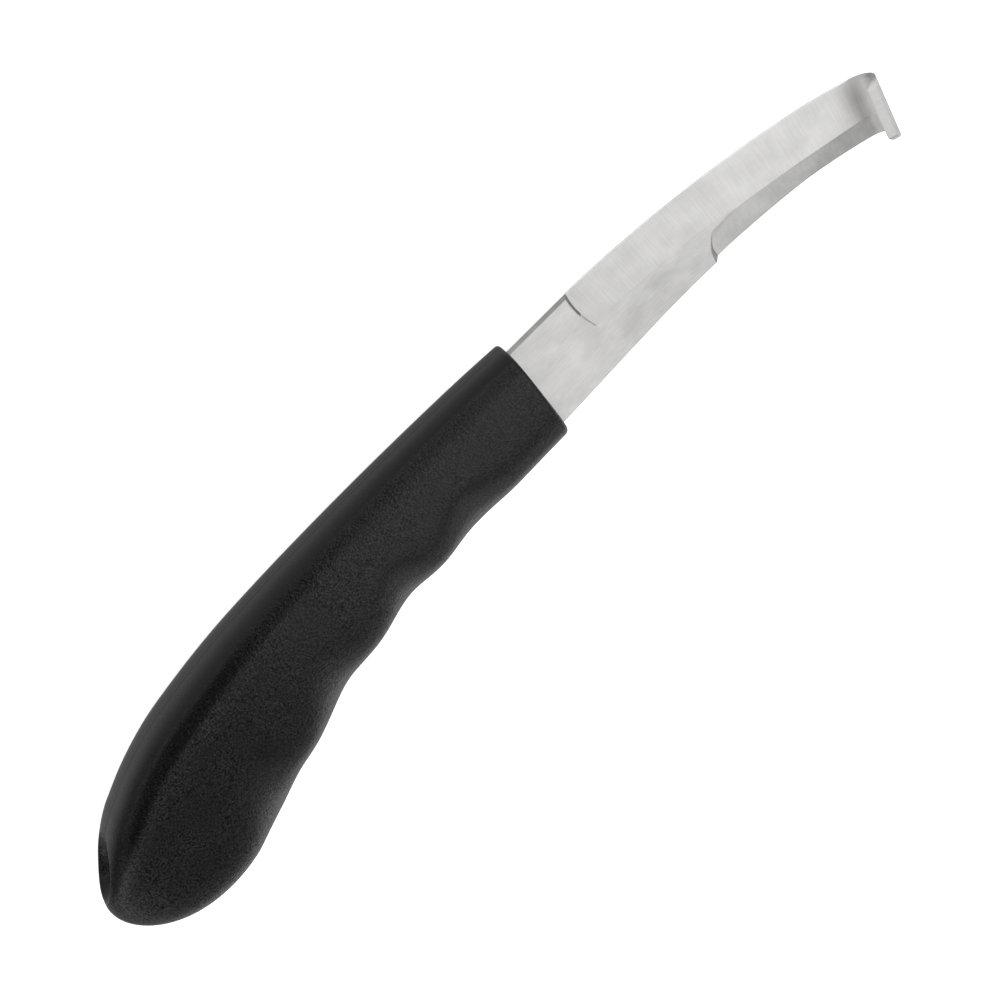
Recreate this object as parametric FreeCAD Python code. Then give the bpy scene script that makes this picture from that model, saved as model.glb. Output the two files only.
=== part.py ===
import FreeCAD, Part
import math
import os

# Hoof knife with a hooked tip: a stainless blade, ground on both edges, with its tang moulded into a
# sculpted polymer grip.
#
# The knife lies on its flat side. +X runs from the butt to the hook, +Y towards the back of the knife (its
# long convex side), and +Z up: to the face that both bevels are ground on, and that the hook curls over.
# Everything is drawn with x = 0 at the front of the grip and z = 0 at the middle of the steel. The last
# step moves it, so that the origin is the centre of the footprint, on the surface that the knife lies on.
# All sizes are millimetres.

# Steel strip
STEEL = 2.5                     # thickness of the stock
CUT_EDGE = 0.15                 # thickness left at both cutting edges
CLEAR = 2.0                     # how far a cutting tool reaches beyond what it cuts

# Line of the blade, drawn along its arc length s from the front of the grip
LINE_OFFSET = 0.05              # how far the line stands off the X axis at the grip
LINE_ANGLE = math.radians(1.1)  # its heading there
BEND_START = 15.0               # straight up to here, then a wide arc
BEND_RADIUS = 275.0
TIP_BEND_START = 61.0           # then a closer arc to the tip
TIP_BEND_RADIUS = 140.0
BLADE_WIDTHS = [(0.0, 17.5), (20.0, 16.6), (45.0, 14.4), (66.0, 12.85), (84.0, 12.3)]  # (s, width)

# Bevels, both ground on the upper face
HOLLOW = 0.10                   # how far their hollow lies below a straight slope,
HOLLOW_AT_HOOK = 0.01           # and where the hook starts
BACK_BEVEL_START = 14.9         # the bevel along the back edge begins at a short wall straight across
BACK_BEVEL_WIDTH = 8.6
BELLY_BEVEL_START = 41.0        # the one along the belly edge begins at a wall that curves forwards
BELLY_WALL_REACH = 3.6          # how far forwards that wall has come where it meets the ridge
WALL_LEAN = 0.6                 # how far both walls lean over their height
RIDGE_START = 44.0              # from here on the two bevels meet in a ridge
RIDGE_HEIGHT_HOOK = 1.15        # which sinks from full thickness to this at the hook
BELLY_BEVEL_WIDTHS = [(44.0, 5.85), (51.0, 5.5), (60.0, 4.7), (67.0, 4.2), (75.0, 4.1), (83.0, 4.4)]

# Hook
HOOK_START = 81.3               # where the strip starts to roll up
HOOK_RADIUS = 4.1               # outside radius of the roll
HOOK_SWEEP = 172.0              # degrees of roll before its end is ground off level
HOOK_HEIGHT = 7.2               # height of the ground end above the back face
HOOK_CORNER_BELLY, HOOK_CORNER_BACK = 0.7, 1.5   # radii of the hook's top corners, seen from its tip
HOOK_EDGE = 0.8                 # in the roll the bevels draw back to this distance from both edges,
HOOK_SIDE_THICKNESS = 0.92      # where the steel gets this thick
HOOK_BLUNT = 0.85               # while the edges themselves get this thick
HOOK_RIDGE_THICKNESS = 0.95     # and the ridge between them sinks to this
HOOK_EVEN = (10.0, 120.0)       # angles between which the bevels draw back
HOOK_BLUNTING = (60.0, 130.0)   # and between which the edges turn blunt
HOOK_FLARE = 0.45                # how far the end of the roll widens on the belly side
HOOK_FLARING = (40.0, 120.0)     # and the angles between which it does
HOOK_SECTIONS = 16

# Tang, inside the grip
TANG_SHOULDER = 7.0             # length at full width behind the front of the grip
TANG_FRONT_WIDTH = 13.0
TANG_END_WIDTH = 8.0
TANG_LENGTH = 98.0
TANG_DROP = 5.0                 # how far the end of the tang lies towards the belly
TANG_HOLES = [-26.0, -62.0]     # holes that the polymer flows through
TANG_HOLE_RADIUS = 2.75

# Grip: outline of its back and of its finger grooves, as (x, y)
GRIP_BACK = [(6.0, 10.05), (-9.5, 10.9), (-24.0, 11.25), (-48.0, 11.2), (-64.6, 10.65), (-76.0, 9.9),
             (-87.4, 8.45), (-98.8, 6.25), (-107.0, 3.45), (-114.0, 0.2)]
GRIP_BELLY = [(6.0, -10.3), (-11.0, -10.35), (-20.0, -10.75), (-26.0, -10.95), (-31.0, -10.75),
              (-36.5, -11.05), (-44.0, -11.65), (-49.5, -12.0), (-55.0, -12.9), (-62.5, -14.4), (-70.0, -16.75),
              (-75.5, -18.05), (-82.0, -19.65), (-90.0, -23.65), (-98.0, -25.5)]
GRIP_MIDDLE = [(6.0, 0.2), (-40.0, -0.2), (-70.0, -2.4), (-95.0, -7.2), (-112.0, -11.1), (-128.0, -14.3)]
GRIP_HALF_THICKNESS = [(6.0, 7.9), (-25.0, 8.7), (-60.0, 10.0), (-92.0, 11.7), (-108.0, 12.0)]
# Exponents of its superelliptic section: the belly side is squarer between the finger grooves than in them
BACK_SQUARENESS = 3.2
BELLY_SQUARENESS = [(6.0, 2.5), (-15.0, 2.6), (-26.5, 1.7), (-35.5, 2.9), (-44.5, 1.65), (-54.0, 3.0),
                    (-67.0, 1.65), (-79.0, 3.1), (-90.0, 1.65), (-101.0, 3.0), (-128.0, 3.0)]
GRIP_FRONT = -0.3               # where its front crosses the X axis
GRIP_FRONT_LEAN = 7.3           # degrees that its front leans forwards at the back of the knife
GRIP_FRONT_ROUND = 1.0

# Butt: each outline closes round the end of the grip, as (start x, slope there, exponent)
BUTT_END = (-128.0, -14.3)
BUTT_BACK = (-114.0, 0.543, 2.18)
BUTT_BELLY = (-98.0, 0.243, 1.6)
BUTT_THICKNESS = (-111.0, 0.0, 2.4)
GRIP_SECTIONS = 46              # sections up to the butt
BUTT_SECTIONS = 12              # and round it
SECTION_POINTS = 32

# Dimple in the butt, on the mould line
DIMPLE_CENTRE = (-122.1, -7.7)
DIMPLE_DIRECTION = (-0.77, 0.64)
DIMPLE_BALL = 7.6               # radius of the ball that shapes it
DIMPLE_DEPTH = 2.5
DIMPLE_RIM = 0.8


def curve_through(points, x):
    """Height at x of a smooth curve through points (x, y), level in slope with its neighbours at each."""
    rows = sorted(points)
    chords = [(b[1] - a[1]) / (b[0] - a[0]) for a, b in zip(rows, rows[1:])]
    slopes = [chords[0]]
    for a, b, before, after in zip(rows, rows[2:], chords, chords[1:]):
        middle = rows[rows.index(a) + 1]
        share = (middle[0] - a[0]) / (b[0] - a[0])
        slopes.append(before * (1 - share) + after * share)
    slopes.append(chords[-1])
    x = min(max(x, rows[0][0]), rows[-1][0])
    for (x0, y0), (x1, y1), m0, m1 in zip(rows, rows[1:], slopes, slopes[1:]):
        if x <= x1:
            span = x1 - x0
            t = (x - x0) / span
            rise = y0 + (y1 - y0) * t * t * (3 - 2 * t)
            return rise + span * t * (1 - t) * (m0 * (1 - t) - m1 * t)


def straight_through(points, x):
    """Height at x of straight lines through points (x, y), level beyond its ends."""
    rows = sorted(points)
    x = min(max(x, rows[0][0]), rows[-1][0])
    for (x0, y0), (x1, y1) in zip(rows, rows[1:]):
        if x <= x1:
            return y0 + (y1 - y0) * (x - x0) / (x1 - x0)


def eased(x, start, end):
    """0 up to start, 1 from end on, and a soft step between."""
    t = min(max((x - start) / (end - start), 0.0), 1.0)
    return t * t * (3 - 2 * t)


# ---------------------------------------------------------------------------------------- the blade

def line_at(s):
    """Point and heading of the blade's line at arc length s."""
    angle = LINE_ANGLE
    straight = min(s, BEND_START)
    x = straight * math.cos(angle)
    y = LINE_OFFSET + straight * math.sin(angle)
    for start, end, radius in ((BEND_START, TIP_BEND_START, BEND_RADIUS),
                               (TIP_BEND_START, math.inf, TIP_BEND_RADIUS)):
        turned = angle - max(min(s, end) - start, 0.0) / radius
        x += radius * (math.sin(angle) - math.sin(turned))
        y += radius * (math.cos(turned) - math.cos(angle))
        angle = turned
    return x, y, angle


def half_width(s):
    return straight_through(BLADE_WIDTHS, s) / 2


def strip_point(s, across, height):
    """A point of the flat strip: across towards the back edge, height above the back face."""
    x, y, angle = line_at(s)
    return FreeCAD.Vector(x - across * math.sin(angle), y + across * math.cos(angle), height - STEEL / 2)


def ridge_across(s):
    """Where the two bevels meet or, before the belly bevel, where the back bevel ends on the flat."""
    if s < RIDGE_START:
        return half_width(s) - BACK_BEVEL_WIDTH
    return curve_through(BELLY_BEVEL_WIDTHS, s) - half_width(s)


def ridge_height(s):
    return straight_through([(RIDGE_START, STEEL), (HOOK_START, RIDGE_HEIGHT_HOOK)], s)


def along(start, end, count):
    return [start + (end - start) * i / count for i in range(count + 1)]


def strip_blank():
    """The strip before grinding, from its shoulders in the grip to where the hook starts."""
    edges = []
    for side in (1, -1):
        edge = Part.BSplineCurve()
        edge.interpolate([strip_point(s, side * half_width(s), 0)
                          for s in along(-TANG_SHOULDER, HOOK_START, 12)])
        edges.append(edge)
    back, belly = edges
    tip = Part.makeLine(back.EndPoint, belly.EndPoint)
    root = Part.makeLine(belly.StartPoint, back.StartPoint)
    outline = Part.Wire([back.toShape(), tip, belly.toShape(), root])
    return Part.Face(outline).extrude(FreeCAD.Vector(0, 0, STEEL))


def bevel_section(s, side):
    """Section at s of the shape that a bevel removes: the hollow slope, and all that is above it."""
    inner, outer = ridge_across(s), side * half_width(s)
    inner_height = ridge_height(s)
    slope = (CUT_EDGE - inner_height) / (outer - inner)
    hollow = straight_through([(RIDGE_START, HOLLOW), (HOOK_START, HOLLOW_AT_HOOK)], s)

    def corner(across):
        share = (across - inner) / (outer - inner)
        height = inner_height + slope * (across - inner) - 4 * hollow * share * (1 - share)
        return strip_point(s, across, height)

    far, near = outer + side * CLEAR / 2, inner - side * CLEAR / 4
    slope_arc = Part.Arc(corner(far), corner((far + near) / 2), corner(near)).toShape()
    top = STEEL + CLEAR
    rise = Part.makeLine(corner(near), strip_point(s, near, top))
    lid = Part.makeLine(strip_point(s, near, top), strip_point(s, far, top))
    fall = Part.makeLine(strip_point(s, far, top), corner(far))
    return Part.Wire([slope_arc, rise, lid, fall])


def beyond_wall(wall_s, side):
    """Room beyond the wall that a bevel begins at. wall_s gives s of the wall at a share of its reach."""
    reach = 2 * half_width(0)
    profiles = []
    for height, lean in ((-CLEAR, WALL_LEAN * (1 + CLEAR / STEEL)), (STEEL + 2 * CLEAR, -WALL_LEAN * 2)):
        wall = Part.BSplineCurve()
        points = []
        for share in along(-0.3, 1.3, 8):
            s = wall_s(share) + lean
            edge, ridge = side * half_width(s), ridge_across(s)
            points.append(strip_point(s, edge + (ridge - edge) * share, height))
        wall.interpolate(points)
        level = FreeCAD.Vector(0, 0, points[0].z)
        end_x = line_at(HOOK_START)[0] + 2 * reach
        far = [FreeCAD.Vector(end_x, side * -reach, 0) + level, FreeCAD.Vector(end_x, side * 2 * reach, 0) + level,
               FreeCAD.Vector(points[0].x, side * 2 * reach, 0) + level]
        turn = FreeCAD.Vector(points[-1].x, side * -reach, 0) + level
        path = [points[-1], turn] + far + [points[0]]
        lines = [Part.makeLine(a, b) for a, b in zip(path, path[1:])]
        profiles.append(Part.Wire([wall.toShape()] + lines))
    return Part.makeLoft(profiles, True, True)


def bevel_tool(start, side, wall_s):
    places = along(start - CLEAR, HOOK_START + CLEAR / 2, 16)
    swept = Part.makeLoft([bevel_section(s, side) for s in places], True, False)
    return swept.common(beyond_wall(wall_s, side))


def back_bevel_tool():
    return bevel_tool(BACK_BEVEL_START, 1, lambda share: BACK_BEVEL_START)


def belly_bevel_tool():
    return bevel_tool(BELLY_BEVEL_START, -1,
                      lambda share: BELLY_BEVEL_START + BELLY_WALL_REACH * abs(share) * share)


def rolled(turn, across, height):
    """A point of the strip at an angle round the roll."""
    x, y, angle = line_at(HOOK_START)
    reach = HOOK_RADIUS - height
    ahead, rise = reach * math.sin(turn), HOOK_RADIUS - reach * math.cos(turn)
    return FreeCAD.Vector(x + ahead * math.cos(angle) - across * math.sin(angle),
                          y + ahead * math.sin(angle) + across * math.cos(angle), rise - STEEL / 2)


def roll_section(turn):
    """Section at an angle round the roll: two plain slopes at first, then an even thickness."""
    half, ridge = half_width(HOOK_START), ridge_across(HOOK_START)
    even = eased(math.degrees(turn), *HOOK_EVEN)
    edge = CUT_EDGE + (HOOK_BLUNT - CUT_EDGE) * eased(math.degrees(turn), *HOOK_BLUNTING)
    belly = -half - HOOK_FLARE * eased(math.degrees(turn), *HOOK_FLARING)
    corners = [(belly, 0), (belly, edge)]
    for side in (-1, 1):
        share = HOOK_EDGE / abs(side * half - ridge)
        slope_height = CUT_EDGE + (RIDGE_HEIGHT_HOOK - CUT_EDGE) * share
        height = slope_height + (HOOK_SIDE_THICKNESS - slope_height) * even
        corners.append((side * (half - HOOK_EDGE), height))
    corners.insert(3, (ridge, RIDGE_HEIGHT_HOOK + (HOOK_RIDGE_THICKNESS - RIDGE_HEIGHT_HOOK) * even))
    corners += [(half, edge), (half, 0)]
    return Part.makePolygon([rolled(turn, *corner) for corner in corners + corners[:1]])


def hook():
    """The end of the strip, rolled up over the upper face and ground off level."""
    roll = Part.makeLoft([roll_section(turn) for turn in along(0, math.radians(HOOK_SWEEP), HOOK_SECTIONS)],
                         True, False)
    keep = lip_profile().extrude(FreeCAD.Vector(4 * HOOK_RADIUS, 0, 0))
    keep.translate(FreeCAD.Vector(-2 * HOOK_RADIUS, 0, 0))
    keep.rotate(FreeCAD.Vector(0, 0, 0), FreeCAD.Vector(0, 0, 1), math.degrees(line_at(HOOK_START)[2]))
    keep.translate(strip_point(HOOK_START, 0, 0))
    return roll.common(keep)


def lip_profile():
    """What stays of the hook seen from its tip: level on top, with two rounded corners."""
    right, top, low = half_width(HOOK_START) + 0.01, HOOK_HEIGHT, -CLEAR
    left = -right - HOOK_FLARE
    belly, back = HOOK_CORNER_BELLY, HOOK_CORNER_BACK
    bow = 1 - math.sqrt(0.5)

    def at(across, height):
        return FreeCAD.Vector(0, across, height)

    belly_corner = Part.Arc(at(left, top - belly), at(left + belly * bow, top - belly * bow),
                            at(left + belly, top)).toShape()
    back_corner = Part.Arc(at(right - back, top), at(right - back * bow, top - back * bow),
                           at(right, top - back)).toShape()
    return Part.Face(Part.Wire([belly_corner, Part.makeLine(at(left + belly, top), at(right - back, top)),
                                back_corner, Part.makeLine(at(right, top - back), at(right, low)),
                                Part.makeLine(at(right, low), at(left, low)),
                                Part.makeLine(at(left, low), at(left, top - belly))]))


def tang():
    """A taper with a rounded end and two holes."""
    end, radius = TANG_END_WIDTH / 2 - TANG_LENGTH, TANG_END_WIDTH / 2
    front = 1 - TANG_SHOULDER
    sides = [[FreeCAD.Vector(front, side * TANG_FRONT_WIDTH / 2, 0),
              FreeCAD.Vector(end, side * radius - TANG_DROP, 0)] for side in (1, -1)]
    edges = [Part.makeLine(*side) for side in sides]
    edges.append(Part.Arc(sides[0][1], FreeCAD.Vector(-TANG_LENGTH, -TANG_DROP, 0), sides[1][1]).toShape())
    edges.append(Part.makeLine(sides[0][0], sides[1][0]))
    body = Part.Face(Part.Wire(Part.__sortEdges__(edges))).extrude(FreeCAD.Vector(0, 0, STEEL))
    body.translate(FreeCAD.Vector(0, 0, -STEEL / 2))
    for x in TANG_HOLES:
        foot = FreeCAD.Vector(x, TANG_DROP * x / TANG_LENGTH, -STEEL)
        body = body.cut(Part.makeCylinder(TANG_HOLE_RADIUS, 2 * STEEL, foot))
    return body


def behind_front():
    """All the room behind the leaning front of the grip."""
    size = 300.0
    room = Part.makeBox(size, size, size, FreeCAD.Vector(-size, -size / 2, -size / 2))
    room.rotate(FreeCAD.Vector(0, 0, 0), FreeCAD.Vector(0, 0, 1), -GRIP_FRONT_LEAN)
    room.translate(FreeCAD.Vector(GRIP_FRONT, 0, 0))
    return room


def blade():
    strip = strip_blank().cut(back_bevel_tool()).cut(belly_bevel_tool())
    whole = strip.fuse([hook(), tang()]).removeSplitter()
    # Joined again without merging faces, so that the bare back of the blade stays a face of its own
    return whole.cut(behind_front()).fuse(whole.common(behind_front())).Solids[0]


# ---------------------------------------------------------------------------------------- the grip

def closing(x, outline, butt, end):
    """An outline that runs on past its last point and closes round the butt towards end."""
    start, slope, power = butt
    if x >= start:
        return curve_through(outline, x)
    share = (start - x) / (start - BUTT_END[0])
    onward = curve_through(outline, start) + slope * (x - start)
    return end + (onward - end) * max(1 - share ** power, 0.0) ** (1 / power)


def grip_section(x):
    """Superelliptic section at x, with its own height on either side of the middle line."""
    middle = curve_through(GRIP_MIDDLE, x)
    back = closing(x, GRIP_BACK, BUTT_BACK, BUTT_END[1])
    belly = closing(x, GRIP_BELLY, BUTT_BELLY, BUTT_END[1])
    thick = closing(x, GRIP_HALF_THICKNESS, BUTT_THICKNESS, 0.0)
    points = []
    for i in range(SECTION_POINTS):
        turn = 2 * math.pi * i / SECTION_POINTS
        rise, out = math.sin(turn), -math.cos(turn)
        reach = back - middle if rise > 0 else middle - belly
        power = 2 / (BACK_SQUARENESS if rise > 0 else curve_through(BELLY_SQUARENESS, x))
        y = middle + math.copysign(abs(rise) ** power, rise) * reach
        z = math.copysign(abs(out) ** power, out) * thick
        points.append(FreeCAD.Vector(x, y, z))
    curve = Part.BSplineCurve()
    curve.interpolate(Points=points, PeriodicFlag=True, Parameters=along(0, 1, SECTION_POINTS))
    return Part.Wire(curve.toShape())


def grip_body():
    start, close = GRIP_BACK[0][0], BUTT_BELLY[0]
    places = along(start, close, GRIP_SECTIONS)
    for i in range(1, BUTT_SECTIONS):
        turn = math.pi / 2 * i / BUTT_SECTIONS
        places.append(close - (close - BUTT_END[0]) * math.sin(turn))
    end = Part.Vertex(BUTT_END[0], BUTT_END[1], 0)
    return Part.makeLoft([grip_section(x) for x in places] + [end], True, False)


def cut_front(body):
    """Cuts the front off along its lean and rounds the rim."""
    body = body.common(behind_front())
    front = max(body.Faces, key=lambda face: face.CenterOfMass.x)
    return body.makeFillet(GRIP_FRONT_ROUND, front.Edges)


def dimple_tool():
    """A ball that sinks into the butt."""
    x, y = DIMPLE_CENTRE
    back_off = DIMPLE_BALL - DIMPLE_DEPTH
    centre = FreeCAD.Vector(x + DIMPLE_DIRECTION[0] * back_off, y + DIMPLE_DIRECTION[1] * back_off, 0)
    return Part.makeSphere(DIMPLE_BALL, centre)


def handle(blade_shape):
    body = cut_front(grip_body()).cut(dimple_tool())
    rim = [edge for edge in body.Edges if any(
        isinstance(face.Surface, Part.Sphere) for face in body.ancestorsOfType(edge, Part.Face))]
    body = body.makeFillet(DIMPLE_RIM, rim)
    return body.cut(blade_shape).Solids[0]


# ---------------------------------------------------------------------------------------- the knife

def main():
    steel = blade()
    parts = {"blade": steel, "handle": handle(steel)}
    box = FreeCAD.BoundBox()
    for shape in parts.values():
        box.add(shape.optimalBoundingBox(False, False))
    shift = FreeCAD.Vector(-box.Center.x, -box.Center.y, -box.ZMin)
    os.makedirs("parts", exist_ok=True)
    for name, shape in parts.items():
        shape.translate(shift)
        shape.exportStep(f"parts/{name}.step")


main()
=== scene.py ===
import math

import bpy
import numpy as np
from mathutils import Matrix, Vector, noise


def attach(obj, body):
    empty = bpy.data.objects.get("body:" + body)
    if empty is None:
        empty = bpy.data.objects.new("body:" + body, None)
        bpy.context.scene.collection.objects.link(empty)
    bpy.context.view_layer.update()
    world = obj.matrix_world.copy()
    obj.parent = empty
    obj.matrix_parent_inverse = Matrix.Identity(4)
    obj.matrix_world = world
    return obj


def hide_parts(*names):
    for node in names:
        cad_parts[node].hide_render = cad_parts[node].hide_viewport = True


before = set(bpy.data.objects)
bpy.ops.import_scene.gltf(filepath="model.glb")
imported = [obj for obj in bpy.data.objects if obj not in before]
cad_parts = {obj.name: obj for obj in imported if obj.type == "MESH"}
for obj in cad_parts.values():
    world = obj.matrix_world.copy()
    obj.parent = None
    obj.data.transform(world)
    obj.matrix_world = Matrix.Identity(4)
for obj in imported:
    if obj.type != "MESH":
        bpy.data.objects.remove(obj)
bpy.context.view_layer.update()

# Looks of a hoof knife: a satin steel blade with two ground bevels and a rolled hook, in a grained black
# polymer grip. Both pieces are built here as dense meshes from the same drawing as the CAD part. They are
# drawn in millimetres, with x = 0 at the front of the grip and z = 0 at the middle of the steel, and moved
# into the frame at the end. +X runs to the hook, +Y to the back of the knife, and +Z up to the ground face.

MM = 0.001
DRAWING_ORIGIN = (20.822, 7.552, 12.006)   # where the drawing's origin lies in the frame

# Blade, as in the CAD part. Its line is drawn along the arc length s from the front of the grip.
STEEL = 2.5                                # thickness of the stock
CUT_EDGE = 0.15                            # thickness left at both cutting edges
LINE_OFFSET = 0.05                         # how far the line stands off the X axis at the grip
LINE_ANGLE = math.radians(1.1)             # its heading there
BEND_START, BEND_RADIUS = 15.0, 275.0      # straight up to here, then a wide arc,
TIP_BEND_START, TIP_BEND_RADIUS = 61.0, 140.0   # then a closer arc to the tip
BLADE_WIDTHS = [(0.0, 17.5), (20.0, 16.6), (45.0, 14.4), (66.0, 12.85), (84.0, 12.3)]   # (s, width)
HOLLOW, HOLLOW_AT_HOOK = 0.10, 0.01        # how far the bevels' hollow lies below a straight slope
BACK_BEVEL_START, BACK_BEVEL_WIDTH = 14.9, 8.6
BELLY_BEVEL_START = 41.0
BELLY_WALL_REACH = 3.6                     # how far forwards its wall has come where it meets the ridge
BELLY_BEVEL_WIDTHS = [(44.0, 5.85), (51.0, 5.5), (60.0, 4.7), (67.0, 4.2), (75.0, 4.1), (83.0, 4.4)]
RIDGE_START, RIDGE_HEIGHT_HOOK = 44.0, 1.15     # where the bevels meet in a ridge, its height at the hook

# Hook, as in the CAD part
HOOK_START = 81.3
HOOK_RADIUS = 4.1                          # outside radius of the roll
HOOK_HEIGHT = 7.2                          # height of its ground end above the back face
HOOK_CORNER_BELLY, HOOK_CORNER_BACK = 0.7, 1.5  # radii of its top corners
HOOK_EDGE = 0.8                            # in the roll the bevels draw back this close to both edges,
HOOK_SIDE_THICKNESS = 0.92                 # where the steel gets this thick
HOOK_RIDGE_THICKNESS = 0.95                # while the ridge sinks to this
HOOK_BLUNT = 0.85                          # and the edges themselves get this thick
HOOK_EVEN, HOOK_BLUNTING = (10.0, 120.0), (60.0, 130.0)   # angles, in degrees, between which they do
HOOK_FLARE, HOOK_FLARING = 0.45, (40.0, 120.0)  # widening on the belly side, and the angles for it

# Blade, finer shapes that only the looks have
BLADE_HIDDEN = 6.0                         # how far the visual blade runs on inside the grip
STOCK_ROUND = 0.12                         # rounding of the unground edges of the strip
RIDGE_SOFT, RIDGE_CRISP = 0.22, 0.04       # blending of the grinding edges, at their softest and crispest
BACK_SOFTENING = (0.6, 2.0)                # past the back bevel's start they get softer between these
BACK_WALL_LEAN = 1.0                       # width of the wall that the back bevel starts at
BACK_WALL_AHEAD = 0.25                     # how far before the bevel's start its top is at its rearmost,
BACK_WALL_MIDDLE = 0.35                    # which is at this share of the bevel's width from the edge
BACK_WALL_BOW = 2.75                       # how fast it curves towards the tip either way
BACK_WALL_SHADE_REACH = 4.6                       # how far from the edge that wall gets painted shade, a dark steel
BELLY_WALL_LEAN = 1.6
BELLY_WALL_TAIL, BELLY_TAIL_HEIGHT = 4.5, 0.22  # shallow run-out that the wheel left past that wall
WALL_TOPS = (1.2, 1.1)                     # how high the two walls are drawn, in thicknesses of the stock
WALL_BLENDS = (0.15, 0.3)                  # and how softly their feet run into the bevels
BACK_SHARES, BELLY_SHARES = (0, 1.2), (-0.2, 1.6)   # how far across the bevels, in widths, the walls curve
TAIL_MOST = 1.3                            # the run-out is drawn over this many lengths, into the wall
# Waves in the hand-ground bevels: their height, then for each set its share, how fast it changes along and
# across the blade, per mm, and its place in the noise
HAND_GRIND_WAVE = 0.006
WAVES = [(1.0, 0.16, 0.30, 3.1), (0.4, 0.5, 0.6, 8.7)]
LIP_ROUND, LIP_POWER = 0.06, 3             # height and exponent of the rounded cap on the hook's lip
LIP_FULLNESS = 0.05                        # how much thicker the steel is at the lip than in the CAD part
EDGE_HIGHLIGHT_WIDTH = 0.17                          # width of the painted highlight, a bright line along the back bevel's edge
WALL_SLOPE = 0.5                           # steeper ground faces than this are the walls
FLAT_DROP = 2.5 * STOCK_ROUND              # faces no further below the stock's face than this are unground

# Blade, density of the mesh
BLADE_ROWS = [(-BLADE_HIDDEN, 1.0), (-2.0, 0.5), (14.4, 0.05), (16.2, 0.4), (40.4, 0.08), (47.0, 0.35),
              (HOOK_START, 0)]             # (s, step between the rows from there)
BELLY_COLUMNS, BACK_COLUMNS = 56, 66       # places across, either side of the ridge
ROLL_ROWS, LIP_ROWS = 72, 15
BISECTIONS = 40                            # halvings that find where the roll meets its ground lip

# Grip, as in the CAD part: outlines as (x, y)
GRIP_BACK = [(6.0, 10.05), (-9.5, 10.9), (-24.0, 11.25), (-48.0, 11.2), (-64.6, 10.65), (-76.0, 9.9),
             (-87.4, 8.45), (-98.8, 6.25), (-107.0, 3.45), (-114.0, 0.2)]
GRIP_BELLY = [(6.0, -10.3), (-11.0, -10.35), (-20.0, -10.75), (-26.0, -10.95), (-31.0, -10.75),
              (-36.5, -11.05), (-44.0, -11.65), (-49.5, -12.0), (-55.0, -12.9), (-62.5, -14.4),
              (-70.0, -16.75), (-75.5, -18.05), (-82.0, -19.65), (-90.0, -23.65), (-98.0, -25.5)]
GRIP_MIDDLE = [(6.0, 0.2), (-40.0, -0.2), (-70.0, -2.4), (-95.0, -7.2), (-112.0, -11.1), (-128.0, -14.3)]
GRIP_HALF_THICKNESS = [(6.0, 7.9), (-25.0, 8.7), (-60.0, 10.0), (-92.0, 11.7), (-108.0, 12.0)]
# Exponents of its superelliptic section: the belly side is squarer between the finger grooves than in them
BACK_SQUARENESS = 3.2
BELLY_SQUARENESS = [(6.0, 2.5), (-15.0, 2.6), (-26.5, 1.7), (-35.5, 2.9), (-44.5, 1.65), (-54.0, 3.0),
                    (-67.0, 1.65), (-79.0, 3.1), (-90.0, 1.65), (-101.0, 3.0), (-128.0, 3.0)]
GRIP_FRONT = -0.3                          # where its front crosses the X axis
GRIP_FRONT_LEAN = math.radians(7.3)        # how far its front leans forwards at the back of the knife
GRIP_FRONT_ROUND = 1.0
# Butt: each outline closes round the end of the grip, as (start x, slope there, exponent)
BUTT_END = (-128.0, -14.3)
BUTT_BACK = (-114.0, 0.543, 2.18)
BUTT_BELLY = (-98.0, 0.243, 1.6)
BUTT_THICKNESS = (-111.0, 0.0, 2.4)
DIMPLE_CENTRE, DIMPLE_DIRECTION = (-122.1, -7.7), (-0.77, 0.64)
DIMPLE_BALL, DIMPLE_DEPTH = 7.6, 2.5       # radius of the ball that shapes it

# Grip, finer shapes that only the looks have
DIMPLE_RIM = 1.2                           # how softly the dimple's rim is blended
SEAM_HEIGHT, SEAM_WIDTH = 0.05, 0.12       # the raised line where the two halves of the mould met
SEAM_START_ROWS, SEAM_END = 6, 2.0         # it rises over these rows, and dies out this near the butt's end
SKIN_DROP = 0.056                          # how far the skin lies inside the CAD part, to leave room for it
LEAN_FADE = 14.0                           # length over which the lean of the front dies out
LEAN_ROUNDS = 3                            # times that the lean is worked out again from the leaning points

# Grip, density of the mesh
GRIP_ROWS = [(0.0, 0.5), (2.0, 0.6), (98.0, 0.5), (110.0, 0)]   # (distance behind the front, step)
BUTT_ROWS = 64
QUARTER_COLUMNS, QUARTER_CROWDING = 61, 1.9     # places round a quarter, closer together at the seams
FRONT_ROUND_ROWS = 9
FRONT_FACE_SHARES = (0.85, 0.6, 0.3, 0.05)      # rings across the front, as shares of its outline


# ------------------------------------------------------------------------------------ plain helpers

def smooth_curve(points, x):
    """Heights at x of a smooth curve through points, the same curve as in the CAD part."""
    xs, ys = np.array(sorted(points)).T
    chords = np.diff(ys) / np.diff(xs)
    share = (xs[1:-1] - xs[:-2]) / (xs[2:] - xs[:-2])
    inner = chords[:-1] * (1 - share) + chords[1:] * share
    slopes = np.concatenate([chords[:1], inner, chords[-1:]])
    x = np.clip(x, xs[0], xs[-1])
    i = np.clip(np.searchsorted(xs, x) - 1, 0, len(xs) - 2)
    span = xs[i + 1] - xs[i]
    t = (x - xs[i]) / span
    rise = ys[i] + (ys[i + 1] - ys[i]) * t * t * (3 - 2 * t)
    return rise + span * t * (1 - t) * (slopes[i] * (1 - t) - slopes[i + 1] * t)


def straight_curve(points, x):
    """Heights at x of straight lines from point to point."""
    xs, ys = np.array(sorted(points)).T
    return np.interp(x, xs, ys)


def eased(x, start, end):
    """0 before start, 1 after end, and a smooth step between them."""
    t = np.clip((x - start) / (end - start), 0, 1)
    return t * t * (3 - 2 * t)


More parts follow.
